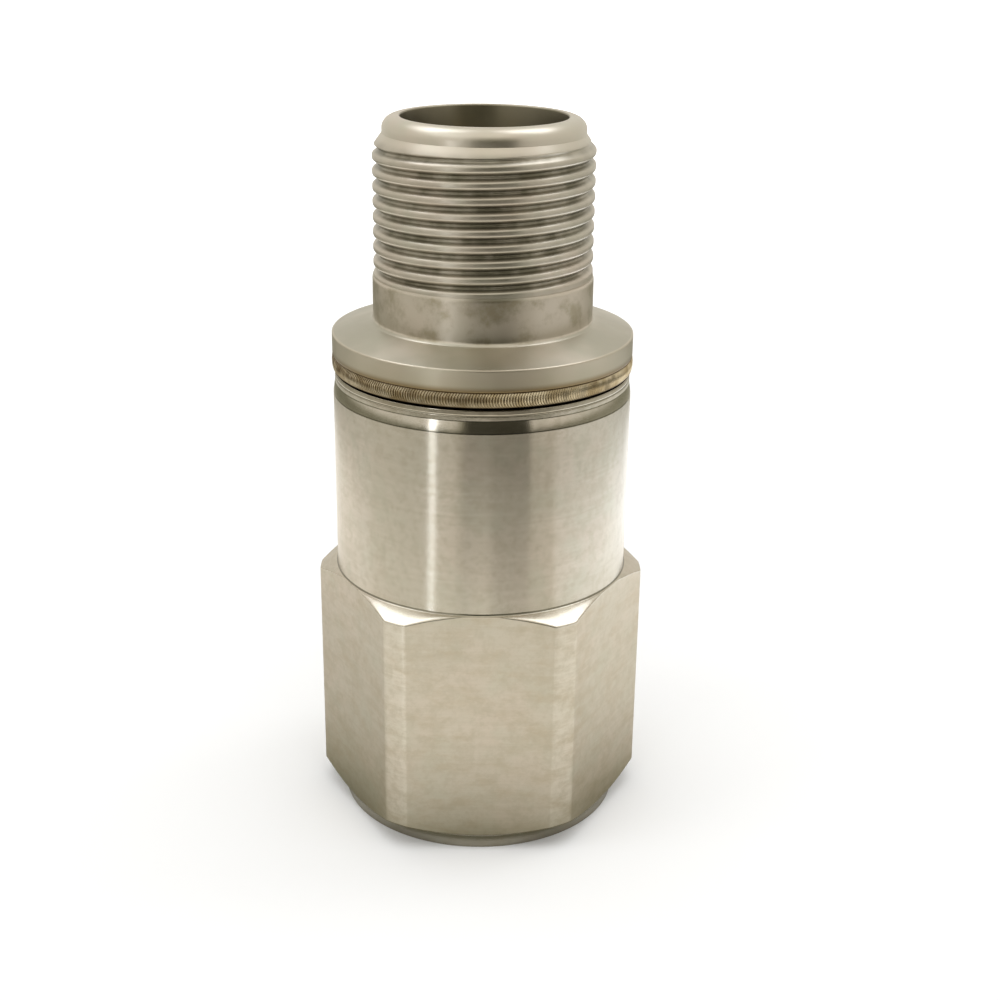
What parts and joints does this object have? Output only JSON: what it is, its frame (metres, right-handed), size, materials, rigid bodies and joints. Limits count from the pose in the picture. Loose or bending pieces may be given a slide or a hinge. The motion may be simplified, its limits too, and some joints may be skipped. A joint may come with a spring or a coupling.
{
  "type": "vibration sensor",
  "caption": "Industrial vibration sensor: hexagon foot with a tapped stud hole, welded cylindrical case and a threaded two-pin connector on top.",
  "frame": {"origin": "middle of the mounting face, on the sensor's axis", "axes": "+Z along the axis, from the mounting face to the connector; the hexagon's corners lie on X and one flat faces -Y"},
  "size_m": [0.0246, 0.022, 0.0523],
  "materials": {
    "case_steel": "fine turned stainless steel",
    "connector_steel": "satin stainless steel",
    "weld_metal": "straw-coloured weld ripples",
    "seal_glass": "dark sealing glass",
    "contact_gold": "gold plated",
    "inner_steel": "machined",
    "silvered_brass": "silvered",
    "tungsten_alloy": "ground",
    "ceramic": "matt",
    "plastic": "moulded",
    "rubber": "matt",
    "board": "solder mask",
    "chip": "moulded",
    "lead_insulation": "smooth"
  },
  "bodies": {
    "root": {"housing": "case_steel", "connector_shell": "connector_steel", "weld_bead": "weld_metal", "glass_seal": "seal_glass", "contact_pin_a": "contact_gold", "contact_pin_b": "contact_gold", "base_insulator": "ceramic", "element_post": "inner_steel", "lower_crystal": "ceramic", "signal_electrode": "silvered_brass", "upper_crystal": "ceramic", "centring_tube": "plastic", "seismic_mass": "tungsten_alloy", "spring_washer": "inner_steel", "preload_nut": "inner_steel", "shield_can": "inner_steel", "lead_grommet": "rubber", "isolation_sleeve": "plastic", "board_carrier": "plastic", "circuit_board": "board", "amplifier_chip": "chip", "coupling_capacitor": "ceramic", "feedback_capacitor": "ceramic", "bias_resistor": "chip", "signal_lead": "lead_insulation", "output_lead_a": "lead_insulation", "output_lead_b": "lead_insulation"}
  },
  "joints": []
}
